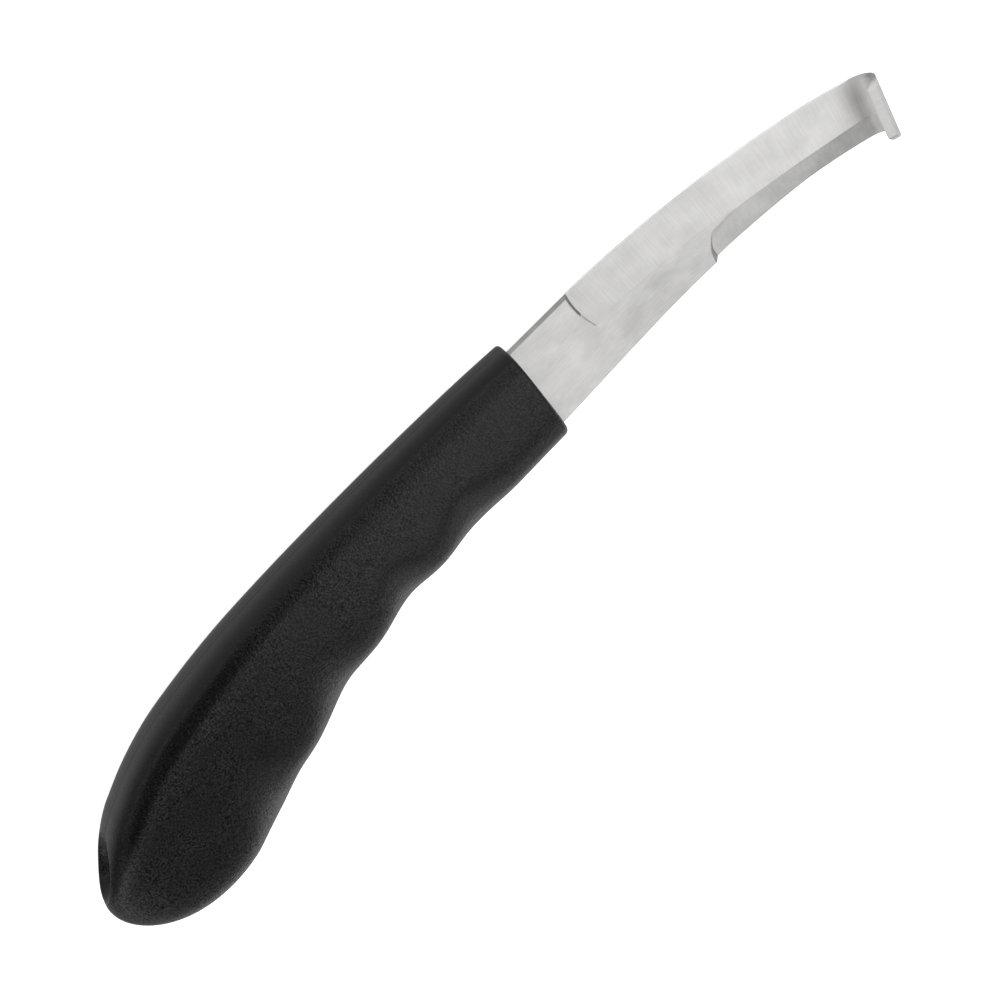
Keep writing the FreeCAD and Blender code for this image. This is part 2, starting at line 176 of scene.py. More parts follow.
def lower_of(a, b, softness):
    """The smaller of two heights, blended where they cross."""
    h = np.clip(0.5 + 0.5 * (b - a) / softness, 0, 1)
    return b * (1 - h) + a * h - softness * h * (1 - h)


def rows_between(stops):
    """Row places from stops [(place, step up to the next place), ..., (last place, 0)]."""
    places = []
    for (start, step), (end, _) in zip(stops, stops[1:]):
        count = max(1, round((end - start) / step))
        places += [start + (end - start) * i / count for i in range(count)]
    return np.array(places + [stops[-1][0]])


def ring_faces(rings, size, flip=False):
    """Quads from each closed ring of points to the next one."""
    faces = []
    for r in range(rings - 1):
        here, there = r * size, (r + 1) * size
        for c in range(size):
            n = (c + 1) % size
            a, b, far_b, far_a = here + c, here + n, there + n, there + c
            faces.append((a, far_a, far_b, b) if flip else (a, b, far_b, far_a))
    return faces


def mesh_object(name, points, faces, uvs, materials, face_slots, sharp_angle):
    """A mesh from points in millimetres, with a UV map of places along and across it."""
    mesh = bpy.data.meshes.new(name)
    placed = (np.asarray(points) + np.array(DRAWING_ORIGIN)) * MM
    mesh.from_pydata(placed.tolist(), [], faces)
    layer = mesh.uv_layers.new(name="surface")
    corners = np.empty(len(mesh.loops), dtype=np.int32)
    mesh.loops.foreach_get("vertex_index", corners)
    layer.data.foreach_set("uv", np.asarray(uvs)[corners].astype(np.float32).ravel())
    for material in materials:
        mesh.materials.append(material)
    mesh.polygons.foreach_set("material_index", np.asarray(face_slots, dtype=np.int32))
    mesh.validate()
    mesh.shade_smooth()
    mesh.set_sharp_from_angle(angle=math.radians(sharp_angle))
    piece = bpy.data.objects.new(name, mesh)
    bpy.context.scene.collection.objects.link(piece)
    return piece


# ------------------------------------------------------------------------------------ the blade's drawing

def line_at(s):
    """Points and headings of the blade's line at arc lengths s."""
    angle = np.full_like(s, LINE_ANGLE)
    straight = np.minimum(s, BEND_START)
    x = straight * math.cos(LINE_ANGLE)
    y = LINE_OFFSET + straight * math.sin(LINE_ANGLE)
    for start, end, radius in ((BEND_START, TIP_BEND_START, BEND_RADIUS),
                               (TIP_BEND_START, math.inf, TIP_BEND_RADIUS)):
        turned = angle - np.clip(s - start, 0, end - start) / radius
        x = x + radius * (np.sin(angle) - np.sin(turned))
        y = y + radius * (np.cos(turned) - np.cos(angle))
        angle = turned
    return x, y, angle


def half_width(s):
    """Half the width of the strip."""
    return straight_curve(BLADE_WIDTHS, s) / 2


def ridge_across(s):
    """Where the back bevel ends across the strip, which is the ridge once the belly bevel meets it."""
    early = half_width(s) - BACK_BEVEL_WIDTH
    late = smooth_curve(BELLY_BEVEL_WIDTHS, s) - half_width(s)
    return np.where(s < RIDGE_START, early, late)


def at_hook():
    """Half the strip's width, and where its ridge lies, at the start of the hook."""
    return float(half_width(HOOK_START)), float(ridge_across(HOOK_START))


def ridge_height(s):
    """Height of the ridge above the back face."""
    return straight_curve([(RIDGE_START, STEEL), (HOOK_START, RIDGE_HEIGHT_HOOK)], s)


def bevel_height(s, across, side):
    """Height of a hollow-ground slope from the ridge down to one edge, running on beyond both."""
    inner, outer = ridge_across(s), side * half_width(s)
    hollow = straight_curve([(RIDGE_START, HOLLOW), (HOOK_START, HOLLOW_AT_HOOK)], s)
    share = (across - inner) / (outer - inner)
    inside = np.clip(share, 0, 1)
    slope = ridge_height(s) + (CUT_EDGE - ridge_height(s)) * share
    return slope - 4 * hollow * inside * (1 - inside)


def back_ground(s, across):
    """Height of the back bevel, with the bowed wall that it starts at."""
    share = np.clip((half_width(s) - across) / BACK_BEVEL_WIDTH, *BACK_SHARES)
    brink = BACK_BEVEL_START - BACK_WALL_AHEAD + BACK_WALL_BOW * (share - BACK_WALL_MIDDLE) ** 2
    wall = STEEL * WALL_TOPS[0] * (brink + BACK_WALL_LEAN - s) / BACK_WALL_LEAN
    return -lower_of(-bevel_height(s, across, 1), -wall, WALL_BLENDS[0])


def belly_ground(s, across):
    """Height of the belly bevel, with the wall that it starts at and the run-out past it."""
    half = half_width(s)
    share = np.clip((across + half) / (ridge_across(s) + half), *BELLY_SHARES)
    brink = BELLY_BEVEL_START + BELLY_WALL_REACH * np.abs(share) * share
    wall = STEEL * WALL_TOPS[1] * (brink + BELLY_WALL_LEAN - s) / BELLY_WALL_LEAN
    left = np.clip(1 - (s - brink - BELLY_WALL_LEAN) / BELLY_WALL_TAIL, 0, TAIL_MOST)
    tail = BELLY_TAIL_HEIGHT * left ** 2
    return -lower_of(-(bevel_height(s, across, -1) + tail), -wall, WALL_BLENDS[1])


def hand_wave(s, across):
    """Slow, shallow waves left by grinding against a wheel by hand."""
    heights = [sum(share * noise.noise(Vector((a * fast_along, b * fast_across, place)))
                   for share, fast_along, fast_across, place in WAVES)
               for a, b in zip(s.ravel(), across.ravel())]
    return HAND_GRIND_WAVE * np.array(heights).reshape(s.shape)


def ridge_softness(s):
    """How softly the ground faces run into the flat: crisp at each bevel's start, and soft between them."""
    start, end = (BACK_BEVEL_START + ahead for ahead in BACK_SOFTENING)
    soft = np.where(s < end, eased(s, start, end), 1 - eased(s, BELLY_BEVEL_START, RIDGE_START))
    return RIDGE_CRISP + (RIDGE_SOFT - RIDGE_CRISP) * soft


def top_height(s, across):
    """Height of the ground face above the back face, all the way to the hook."""
    ground = lower_of(back_ground(s, across), belly_ground(s, across), RIDGE_CRISP)
    return lower_of(ground + hand_wave(s, across), np.full_like(s, STEEL), ridge_softness(s))


def edge_round(distance):
    """Drop of a rounded corner at a distance from it."""
    inside = np.clip(STOCK_ROUND - distance, 0, STOCK_ROUND)
    return STOCK_ROUND - np.sqrt(STOCK_ROUND ** 2 - inside ** 2)


def roll_thickness(turn, across):
    """Thickness of the steel at angles round the hook."""
    half, ridge = at_hook()
    degrees = np.degrees(turn)
    even = eased(degrees, *HOOK_EVEN)
    edge = CUT_EDGE + (HOOK_BLUNT - CUT_EDGE) * eased(degrees, *HOOK_BLUNTING)

    def side_height(side):
        slope = CUT_EDGE + (RIDGE_HEIGHT_HOOK - CUT_EDGE) * HOOK_EDGE / abs(side * half - ridge)
        return slope + (HOOK_SIDE_THICKNESS - slope) * even

    ridge_thickness = RIDGE_HEIGHT_HOOK + (HOOK_RIDGE_THICKNESS - RIDGE_HEIGHT_HOOK) * even
    side = np.where(across > ridge, 1, -1)
    shoulder = side * (half - HOOK_EDGE)
    shoulder_height = np.where(side > 0, side_height(1), side_height(-1))
    outwards = (np.abs(across) - np.abs(shoulder)) / HOOK_EDGE
    inwards = (across - ridge) / (shoulder - ridge)
    plain = np.where(outwards > 0, shoulder_height + (edge - shoulder_height) * outwards,
                     ridge_thickness + (shoulder_height - ridge_thickness) * inwards)
    return plain + LIP_FULLNESS * even


def lip_height(across):
    """Height that the hook's rounded cap starts at, with the lip's two rounded corners."""
    corner = np.where(across < 0, HOOK_CORNER_BELLY, HOOK_CORNER_BACK)
    inside = np.clip(corner - (at_hook()[0] - np.abs(across)), 0, corner)
    return HOOK_HEIGHT - LIP_ROUND - (corner - np.sqrt(corner ** 2 - inside ** 2))


def lip_turns(across, inner):
    """Angle at which each column of the roll reaches the ground lip, on its outside or inside."""
    low, high = np.full_like(across, math.pi / 2), np.full_like(across, math.pi)
    for _ in range(BISECTIONS):
        middle = (low + high) / 2
        reach = HOOK_RADIUS - (roll_thickness(middle, across) if inner else 0.0)
        short = HOOK_RADIUS - reach * np.cos(middle) < lip_height(across)
        low, high = np.where(short, middle, low), np.where(short, high, middle)
    return low


# ------------------------------------------------------------------------------------ the blade's mesh

# Its material slots, in the order of the materials that build() makes
FLAT, GROUND, LIP, BACK_WALL, BELLY_WALL, EDGE_HIGHLIGHT, BELLY_GROUND = range(7)
BLADE_SHARP = 28                           # degrees between faces that shade as a sharp edge


def across_columns(s):
    """Places across the strip at each s: one column follows the ridge, and they close up at both edges."""
    half, ridge = half_width(s)[:, None], ridge_across(s)[:, None]
    belly = 1 - np.cos(np.linspace(0, math.pi / 2, BELLY_COLUMNS))
    back = np.sin(np.linspace(0, math.pi / 2, BACK_COLUMNS))[1:]
    left = -half + (ridge + half) * belly[None, :]
    right = ridge + (half - ridge) * back[None, :]
    return np.concatenate([left, right], axis=1)


def placed_strip(s, across, height):
    """Points of the flat strip."""
    x, y, angle = line_at(s)
    return np.stack([x - across * np.sin(angle), y + across * np.cos(angle), height - STEEL / 2], axis=-1)


def placed_roll(turn, across, height):
    """Points of the rolled hook."""
    x, y, angle = (float(value) for value in line_at(HOOK_START))
    half, _ = at_hook()
    to_belly = np.clip((-across - half + HOOK_EDGE) / HOOK_EDGE, 0, 1)
    across = across - HOOK_FLARE * eased(np.degrees(turn), *HOOK_FLARING) * to_belly
    reach = HOOK_RADIUS - height
    ahead, rise = reach * np.sin(turn), HOOK_RADIUS - reach * np.cos(turn)
    return np.stack([x + ahead * math.cos(angle) - across * math.sin(angle),
                     y + ahead * math.sin(angle) + across * math.cos(angle), rise - STEEL / 2], axis=-1)


def strip_heights(s, across):
    """Heights of the strip's back face and ground face, with the edges of the stock rounded."""
    drop = edge_round(half_width(s) - np.abs(across))
    top = np.minimum(top_height(s, across), STEEL - drop)
    thick = np.clip((top - 2 * STOCK_ROUND) / STOCK_ROUND, 0, 1)
    return drop * thick, top


def ground_face_slots(s, across, top):
    """Material slots of the faces on the strip's upper side."""
    steep = -np.diff(top, axis=0) / np.diff(s, axis=0) > WALL_SLOPE
    s, across, height = s[:-1], across[:-1], top[1:]
    inset = half_width(s) - across
    # Painted shade: the steep faces of both walls get dark steels that stand in for the walls' shade.
    return np.select([steep & (s > BELLY_BEVEL_START - 1), steep & (inset < BACK_WALL_SHADE_REACH),
                      height > STEEL - FLAT_DROP, inset < EDGE_HIGHLIGHT_WIDTH, across < ridge_across(s)],
                     [BELLY_WALL, BACK_WALL, FLAT, EDGE_HIGHLIGHT, BELLY_GROUND], GROUND)


def blade_slots(s, across, top, rows):
    """Material slots of all the blade's faces, for each ring and then round it."""
    strip, columns = len(s) - 1, across.shape[1]
    slots = np.full((rows - 1, 2 * columns), GROUND)
    slots[:, :columns - 1] = FLAT
    slots[:strip, columns:-1] = ground_face_slots(s, across, top)[:, :0:-1]
    for side in (columns - 1, -1):
        slots[:strip, side] = np.where(s[:-1, 0] > BACK_BEVEL_START, GROUND, FLAT)
    slots[strip:, columns:] = np.where(across[-1, ::-1] < ridge_across(HOOK_START), BELLY_GROUND, GROUND)
    return slots.ravel().tolist()


def lip_cap(outside, inside):
    """Rows of points over the lip's rounded cap, and how far across the lip each one lies."""
    shares = (1 - np.cos(np.linspace(0, math.pi, LIP_ROWS)[1:-1])) / 2
    rises = LIP_ROUND * (1 - np.abs(2 * shares - 1) ** LIP_POWER) ** (1 / LIP_POWER)
    rows = [outside * (1 - share) + inside * share + np.array([0, 0, rise])
            for share, rise in zip(shares, rises)]
    return rows, shares


def lip_faces(end, columns, cap_rows):
    """Faces of the lip, from the last ring's outside over the cap to its inside, and at the cap's ends."""
    size = 2 * columns
    lines = [[end + c for c in range(columns)]]
    lines += [[end + size + k * columns + c for c in range(columns)] for k in range(cap_rows)]
    lines += [[end + size - 1 - c for c in range(columns)]]
    faces = [(near[c], near[c + 1], far[c + 1], far[c])
             for near, far in zip(lines, lines[1:]) for c in range(columns - 1)]
    ends = [tuple(line[side] for line in lines[::step]) for side, step in ((0, 1), (columns - 1, -1))]
    return faces + ends


def blade(materials):
    """The blade: closed rings along the strip and round the roll, then the lip."""
    rows = rows_between(BLADE_ROWS)
    across = across_columns(rows)
    columns = across.shape[1]
    s = np.repeat(rows[:, None], columns, axis=1)
    bottom, top = strip_heights(s, across)

    turns = np.linspace(0, 1, ROLL_ROWS)[1:, None]
    outer_turn, inner_turn = turns * lip_turns(across[-1:], False), turns * lip_turns(across[-1:], True)
    roll_across = np.repeat(across[-1:], len(turns), axis=0)
    under = np.concatenate([placed_strip(s, across, bottom),
                            placed_roll(outer_turn, roll_across, np.zeros_like(roll_across))])
    over = np.concatenate([placed_strip(s, across, top),
                           placed_roll(inner_turn, roll_across, roll_thickness(inner_turn, roll_across))])
    along_under = np.concatenate([s, HOOK_START + outer_turn * HOOK_RADIUS])
    along_over = np.concatenate([s, HOOK_START + inner_turn * HOOK_RADIUS])
    all_across = np.concatenate([across, roll_across])

    rings = np.concatenate([under, over[:, ::-1]], axis=1)
    ring_uvs = np.stack([np.concatenate([along_under, along_over[:, ::-1]], axis=1),
                         np.concatenate([all_across, all_across[:, ::-1]], axis=1)], axis=-1)
    cap, shares = lip_cap(under[-1], over[-1])
    cap_uv = np.stack([along_under[-1], across[-1]], axis=-1)
    points = np.concatenate([rings.reshape(-1, 3), *cap])
    uvs = np.concatenate([ring_uvs.reshape(-1, 2)] + [cap_uv + np.array([share, 0]) for share in shares])

    size = 2 * columns
    lip = lip_faces((len(rings) - 1) * size, columns, len(cap))
    faces = ring_faces(len(rings), size) + lip + [tuple(range(size - 1, -1, -1))]
    slots = blade_slots(s, across, top, len(rings)) + [LIP] * len(lip) + [FLAT]
    return mesh_object("steel_blade", points, faces, uvs, materials, slots, BLADE_SHARP)


# ------------------------------------------------------------------------------------ the grip

GRIP_SHARP = 50                            # degrees between faces that shade as a sharp edge


def closing(x, outline, butt, end):
    """An outline's heights at x, which close round the butt to the height end."""
    start, slope, power = butt
    share = np.clip((start - x) / (start - BUTT_END[0]), 0, 1)
    onward = smooth_curve(outline, np.maximum(x, start)) + slope * np.minimum(x - start, 0)
    return end + (onward - end) * (1 - share ** power) ** (1 / power)


def section_turns():
    """Angles round the grip's section, closer together at the two mould seams."""
    quarter = np.linspace(0, 1, QUARTER_COLUMNS)[:-1] ** QUARTER_CROWDING * math.pi / 2
    half = np.concatenate([quarter, [math.pi / 2], math.pi - quarter[::-1]])
    return np.concatenate([half[:-1], half[:-1] + math.pi])


def grip_points(x, turn):
    """Heights and thicknesses of the plain grip at places x and angles turn, 0 being the knife's back."""
    middle = smooth_curve(GRIP_MIDDLE, x)
    back = closing(x, GRIP_BACK, BUTT_BACK, BUTT_END[1])
    belly = closing(x, GRIP_BELLY, BUTT_BELLY, BUTT_END[1])
    thick = closing(x, GRIP_HALF_THICKNESS, BUTT_THICKNESS, 0.0)
    rise, out = np.cos(turn), np.sin(turn)
    reach = np.where(rise > 0, back - middle, middle - belly)
    power = 2 / np.where(rise > 0, BACK_SQUARENESS, smooth_curve(BELLY_SQUARENESS, x))
    y = middle + np.sign(rise) * np.abs(rise) ** power * reach
    z = np.sign(out) * np.abs(out) ** power * thick
    return y, z, middle


def grip_rows():
    """Places of the grip's rings, from its front to just short of the butt's end."""
    body = -GRIP_FRONT_ROUND - rows_between(GRIP_ROWS)[1:]
    close = np.sin(np.linspace(0, math.pi / 2, BUTT_ROWS))[1:-1]
    return np.concatenate([body, body[-1] - close * (body[-1] - BUTT_END[0])])


def grip_skin(turn):
    """Rings of the grip's skin, which lean with its front, and the height of its middle line in each."""
    x = np.repeat(grip_rows()[:, None], len(turn), axis=1)
    fade = np.clip(1 + x / LEAN_FADE, 0, 1) ** 2
    y, z, middle = grip_points(x, turn)
    for _ in range(LEAN_ROUNDS):
        leaning = x + fade * (GRIP_FRONT + math.tan(GRIP_FRONT_LEAN) * y)
        y, z, middle = grip_points(leaning, turn)
    return np.stack([leaning, y, z], axis=-1), middle


def grip_front(first, middle):
    """Rings over the rounded edge of the grip's front and then in across its flat face."""
    axis = np.array([0.0, middle, 0.0])
    outline = first - axis
    length = np.linalg.norm(outline[:, 1:], axis=1)
    lean = math.tan(GRIP_FRONT_LEAN)
    rings = []
    for angle in np.linspace(0, math.pi / 2, FRONT_ROUND_ROWS)[1:]:
        inset, ahead = GRIP_FRONT_ROUND * (1 - math.cos(angle)), GRIP_FRONT_ROUND * math.sin(angle)
        ring = outline.copy()
        ring[:, 1:] *= (1 - inset / length)[:, None]
        ring[:, 0] += ahead - lean * inset * outline[:, 1] / length
        rings.append(ring + axis)
    face_edge = rings[-1]
    for share in FRONT_FACE_SHARES:
        ring = face_edge.copy()
        ring[:, 1:] = axis[1:] + (face_edge[:, 1:] - axis[1:]) * share
        ring[:, 0] += lean * (ring[:, 1] - face_edge[:, 1])
        rings.append(ring)
    return rings


def raise_seam(points, front_rings):
    """Raises the mould seam out of the skin, and sinks the rest a little to stay inside the CAD part."""
    middle = smooth_curve(GRIP_MIDDLE, points[..., 0])
    outwards = points - np.stack([points[..., 0], middle, np.zeros_like(middle)], axis=-1)
    length = np.maximum(np.linalg.norm(outwards, axis=-1, keepdims=True), 1e-6)
    seam = SEAM_HEIGHT * np.exp(-(points[..., 2] / SEAM_WIDTH) ** 2)
    on_skin = np.clip((np.arange(len(points)) - front_rings) / SEAM_START_ROWS, 0, 1)[:, None]
    near_end = np.clip(length[..., 0] / SEAM_END, 0, 1)
    return points + outwards / length * ((seam * on_skin - SKIN_DROP) * near_end)[..., None]


def press_dimple(points):
    """Sinks the round dimple into the butt."""
    direction = np.array([*DIMPLE_DIRECTION, 0.0])
    direction /= np.linalg.norm(direction)
    offset = points - np.array([*DIMPLE_CENTRE, 0.0])
    outwards = offset @ direction
    radius = np.linalg.norm(offset - outwards[..., None] * direction, axis=-1)
    ball = DIMPLE_BALL - DIMPLE_DEPTH - np.sqrt(np.maximum(DIMPLE_BALL ** 2 - radius ** 2, 0))
    ball = np.where(radius < DIMPLE_BALL, ball, DIMPLE_BALL)
    sunk = np.where(outwards > -DIMPLE_BALL, lower_of(outwards, ball, DIMPLE_RIM), outwards)
    return points + (sunk - outwards)[..., None] * direction


def grip(material):
    """The grip: closed rings from the middle of its front to the butt, which ends in one point."""
    turn = section_turns()
    columns = len(turn)
    skin, middle = grip_skin(turn)
    front = grip_front(skin[0], middle[0, 0])
    end = np.tile([BUTT_END[0] + SKIN_DROP, BUTT_END[1], 0.0], (1, columns, 1))
    points = press_dimple(raise_seam(np.concatenate([np.array(front[::-1]), skin, end]), len(front)))

    tip = (len(points) - 1) * columns
    last_ring = tip - columns
    faces = ring_faces(len(points) - 1, columns, flip=True)
    faces += [(last_ring + c, tip, last_ring + (c + 1) % columns) for c in range(columns)]
    faces.append(tuple(range(columns)))
    uvs = np.stack([points[..., 0], np.broadcast_to(turn, points.shape[:2])], axis=-1)
    return mesh_object("moulded_grip", points.reshape(-1, 3)[:tip + 1], faces, uvs.reshape(-1, 2)[:tip + 1],
                       [material], [0] * len(faces), GRIP_SHARP)


# ------------------------------------------------------------------------------------ shader helpers

def material_base(name):
    """A material with one Principled shader."""
    material = bpy.data.materials.new(name)
    material.use_nodes = True
    tree = material.node_tree
    tree.nodes.clear()
    output = tree.nodes.new("ShaderNodeOutputMaterial")
    shader = tree.nodes.new("ShaderNodeBsdfPrincipled")
    tree.links.new(shader.outputs["BSDF"], output.inputs["Surface"])
    return material, tree, shader


def surface_noise(tree, scale, detail=2.0, roughness=0.5, source="UV"):
    """Noise over the surface's own millimetres, or over the object's metres."""
    place = tree.nodes.new("ShaderNodeTexCoord")
    stretch = tree.nodes.new("ShaderNodeMapping")
    stretch.inputs["Scale"].default_value = scale
    texture = tree.nodes.new("ShaderNodeTexNoise")
    texture.inputs["Scale"].default_value = 1.0
    texture.inputs["Detail"].default_value = detail
    texture.inputs["Roughness"].default_value = roughness
    tree.links.new(place.outputs[source], stretch.inputs["Vector"])
    tree.links.new(stretch.outputs["Vector"], texture.inputs["Vector"])
    return texture.outputs["Fac"]


def parts_of(tree, vector):
    """The X, Y and Z outputs of a vector."""
    split = tree.nodes.new("ShaderNodeSeparateXYZ")
    tree.links.new(vector, split.inputs["Vector"])
    return split.outputs


def feed(tree, socket, value):
    """Sets a socket to a number, or links another node's output to it."""
    if isinstance(value, (int, float)):
        socket.default_value = value
    else:
        tree.links.new(value, socket)


def remapped(tree, value, low, high, new_low, new_high, smooth=False):
    """Carries low..high over to new_low..new_high, clamped at both ends."""
    node = tree.nodes.new("ShaderNodeMapRange")
    node.interpolation_type = "SMOOTHSTEP" if smooth else "LINEAR"
    names = ("Value", "From Min", "From Max", "To Min", "To Max")
    for name, number in zip(names, (value, low, high, new_low, new_high)):
        feed(tree, node.inputs[name], number)
    return node.outputs["Result"]


def combined(tree, operation, a, b):
    """A sum, product or difference of two values."""
    node = tree.nodes.new("ShaderNodeMath")
    node.operation = operation
    feed(tree, node.inputs[0], a)
    feed(tree, node.inputs[1], b)
    return node.outputs["Value"]


def weighed(tree, a, b, share):
    """The sum of share of a and the rest of b."""
    return combined(tree, "ADD", combined(tree, "MULTIPLY", a, share),
                    combined(tree, "MULTIPLY", b, round(1 - share, 6)))


def bumped(tree, shader, height, strength, distance):
    """Tilts the surface's normal by a height; distance is in metres."""
    node = tree.nodes.new("ShaderNodeBump")
    node.inputs["Strength"].default_value = strength
    node.inputs["Distance"].default_value = distance
    tree.links.new(height, node.inputs["Height"])
    tree.links.new(node.outputs["Normal"], shader.inputs["Normal"])


def mixed_tone(tree, shader, share, low, high):
    """Blends the base colour between two brightnesses of slightly warm steel."""
    blend = tree.nodes.new("ShaderNodeMix")
    blend.data_type = "RGBA"
    blend.clamp_factor = False
    for name, tone in (("A", low), ("B", high)):
        blend.inputs[name].default_value = (tone, tone * 0.995, tone * 0.98, 1)
    tree.links.new(share, blend.inputs["Factor"])
    tree.links.new(blend.outputs["Result"], shader.inputs["Base Color"])


# ------------------------------------------------------------------------------------ materials

# Steel. Its noises change this fast along and across the blade, per mm, and they stay near 0.5.
CLOUD_SCALE = (0.16, 0.24, 1.0)
CONTRAST = (0.38, 0.62)                    # shades that give the darkest and the brightest steel
SCRATCHED, SCRATCH_DEPTH = (0.60, 0.72), 0.14   # noise that makes a scratch, and how dark a full one is
MARK_DEPTH = 0.00003                       # metres
MARK_RANGE, MARK_ROUGHER = (0.3, 0.7), (-0.03, 0.04)    # how the marks change the roughness
DULL_START, DULL_END = 73.0, 84.0          # the ground faces get duller between these, into the hook

# Grip. Its noises are per metre.
GRIP_BLACK = (0.003, 0.003, 0.0032, 1)
FINE_GRAIN, COARSE_GRAIN, GRAIN_PATCHES = (2600,) * 3, (1100,) * 3, (120,) * 3
FINE_SHARE = 0.6                           # of the fine grain in all the grain
GRAIN_DEPTH = 0.00032                      # metres
GRAIN_PLACES, GRAIN_AT_FRONT = (-0.10, 0.01), 0.45      # full grain at the butt, and less at the front
POLISHED_NORMALS, GRAIN_ON_BACK = (0.60, 0.95), 0.15    # the back, which faces this far to +Y, has less
PATCH_RANGE, PATCH_LEAST = (0.35, 0.65), 0.5            # patches of weaker grain
PIT_RANGE, PIT_SHADE_GLOSS = (-0.15, 0.15), (0.06, 0.88)      # painted shade: the gloss is lower in the grain's pits than on its tops
ROUGHNESS_RANGE, GRIP_ROUGHNESS = (0.35, 0.65), (0.31, 0.26)
# Painted shade: the gloss is turned down on the palm's face and the shoulder beside the back, from the butt
# forwards
SHADED_PLACES = (-0.075, -0.015)
PALM_UP, PALM_SIDE, PALM_SHADE = (0.72, 0.95), (0.05, 0.42), 0.45
SHOULDER_START, SHOULDER_END, SHOULDER_SHADE = (0.36, 0.50), (0.70, 0.84), 0.55


def steel(name, brush, depth, tone, spread, roughness, fade=(0.0, 1.0, 0.0), dulled=0.0):
    """
    Satin stainless steel. brush is how fast its marks change along and across the blade, and depth how deep
    they are. fade is the stretch of the blade that it darkens over, and by how much. dulled is how much
    rougher it is in the hook.
    """
    material, tree, shader = material_base(name)
    shader.inputs["Metallic"].default_value = 1.0
    marks = surface_noise(tree, (*brush, 1.0), detail=3.0, roughness=0.6)
    cloud = surface_noise(tree, CLOUD_SCALE, detail=3.0)
    scratches = surface_noise(tree, (brush[0] * 2, brush[1] * 2, 1.0), detail=1.0)
    scratches = remapped(tree, scratches, *SCRATCHED, 0, SCRATCH_DEPTH)
    shade = combined(tree, "SUBTRACT", weighed(tree, marks, cloud, 0.5), scratches)

    along = parts_of(tree, tree.nodes.new("ShaderNodeUVMap").outputs["UV"])["X"]
    start, end, darker = fade
    faded = remapped(tree, along, start, end, 0, darker / (2 * spread), smooth=True)
    share = combined(tree, "SUBTRACT", remapped(tree, shade, *CONTRAST, 0, 1), faded)
    mixed_tone(tree, shader, share, tone * (1 - spread), tone * (1 + spread))

    rough = remapped(tree, marks, *MARK_RANGE, *(roughness + rougher for rougher in MARK_ROUGHER))
    hook = remapped(tree, along, DULL_START, DULL_END, 0, dulled, smooth=True)
    tree.links.new(combined(tree, "ADD", rough, hook), shader.inputs["Roughness"])
    bumped(tree, shader, marks, depth, MARK_DEPTH)
    return material


def grain_amount(tree, along, facing):
    """How strong the grain is: it fades towards the front and on the polished back, and in patches."""
    towards_butt = remapped(tree, along, *GRAIN_PLACES, 1.0, GRAIN_AT_FRONT, smooth=True)
    on_back = remapped(tree, facing["Y"], *POLISHED_NORMALS, 1.0, GRAIN_ON_BACK, smooth=True)
    patches = surface_noise(tree, GRAIN_PATCHES, detail=3.0, source="Object")
    amount = combined(tree, "MULTIPLY", towards_butt, on_back)
    return combined(tree, "MULTIPLY", amount, remapped(tree, patches, *PATCH_RANGE, PATCH_LEAST, 1.0))


def painted_shade_on_grip(tree, along, facing):
    """How much gloss is taken off as painted shade on the palm's face and the shoulder beside the back."""
    shaded_towards_butt = remapped(tree, along, *SHADED_PLACES, 1, 0, smooth=True)
    palm = combined(tree, "MULTIPLY", remapped(tree, facing["Z"], *PALM_UP, 0, 1, smooth=True),
                    remapped(tree, facing["Y"], *PALM_SIDE, PALM_SHADE, 0, smooth=True))
    shoulder = combined(tree, "MULTIPLY", remapped(tree, facing["Y"], *SHOULDER_START, 0, 1, smooth=True),
                        remapped(tree, facing["Y"], *SHOULDER_END, SHOULDER_SHADE, 0, smooth=True))
    return combined(tree, "MULTIPLY", shaded_towards_butt, combined(tree, "ADD", palm, shoulder))


def grip_polymer():
    """Black polymer with a fine, leathery moulded grain, worn smoother along the back."""
    material, tree, shader = material_base("grip_polymer")
    shader.inputs["Base Color"].default_value = GRIP_BLACK
    fine = surface_noise(tree, FINE_GRAIN, source="Object")
    coarse = surface_noise(tree, COARSE_GRAIN, detail=1.0, source="Object")
    grain = weighed(tree, fine, coarse, FINE_SHARE)
    along = parts_of(tree, tree.nodes.new("ShaderNodeTexCoord").outputs["Object"])["X"]
    facing = parts_of(tree, tree.nodes.new("ShaderNodeNewGeometry").outputs["Normal"])

    amount = grain_amount(tree, along, facing)
    bumped(tree, shader, combined(tree, "MULTIPLY", grain, amount), 1.0, GRAIN_DEPTH)
    # Painted shade: the grain's pits get less gloss, so they look darker.
    pits = combined(tree, "MULTIPLY", combined(tree, "SUBTRACT", fine, 0.5), amount)
    # Painted shade on the palm and the shoulder lowers the gloss there.
    kept = combined(tree, "SUBTRACT", 1.0, painted_shade_on_grip(tree, along, facing))
    gloss = combined(tree, "MULTIPLY", remapped(tree, pits, *PIT_RANGE, *PIT_SHADE_GLOSS), kept)
    tree.links.new(gloss, shader.inputs["Specular IOR Level"])
    rough = remapped(tree, grain, *ROUGHNESS_RANGE, *GRIP_ROUGHNESS)
    tree.links.new(rough, shader.inputs["Roughness"])
    return material


# ------------------------------------------------------------------------------------ studio

FLOOR_HALF = 3.0
FLOOR_GLOW = 0.80
FLOOR_TONES = (0.90, 0.91)
# How bright the room looks above the horizon, straight down, and just below the horizon on the belly side
# and on the back side
ROOM_ABOVE, ROOM_DOWN, ROOM_LOW_BELLY, ROOM_LOW_BACK = 0.36, 0.37, 0.90, 0.45
ROOM_BEHIND_GRIP = 0.92                    # brightness of the wall that the butt points at
LOW_BEHIND_GRIP = 0.4                      # and what is left of the brightness below it
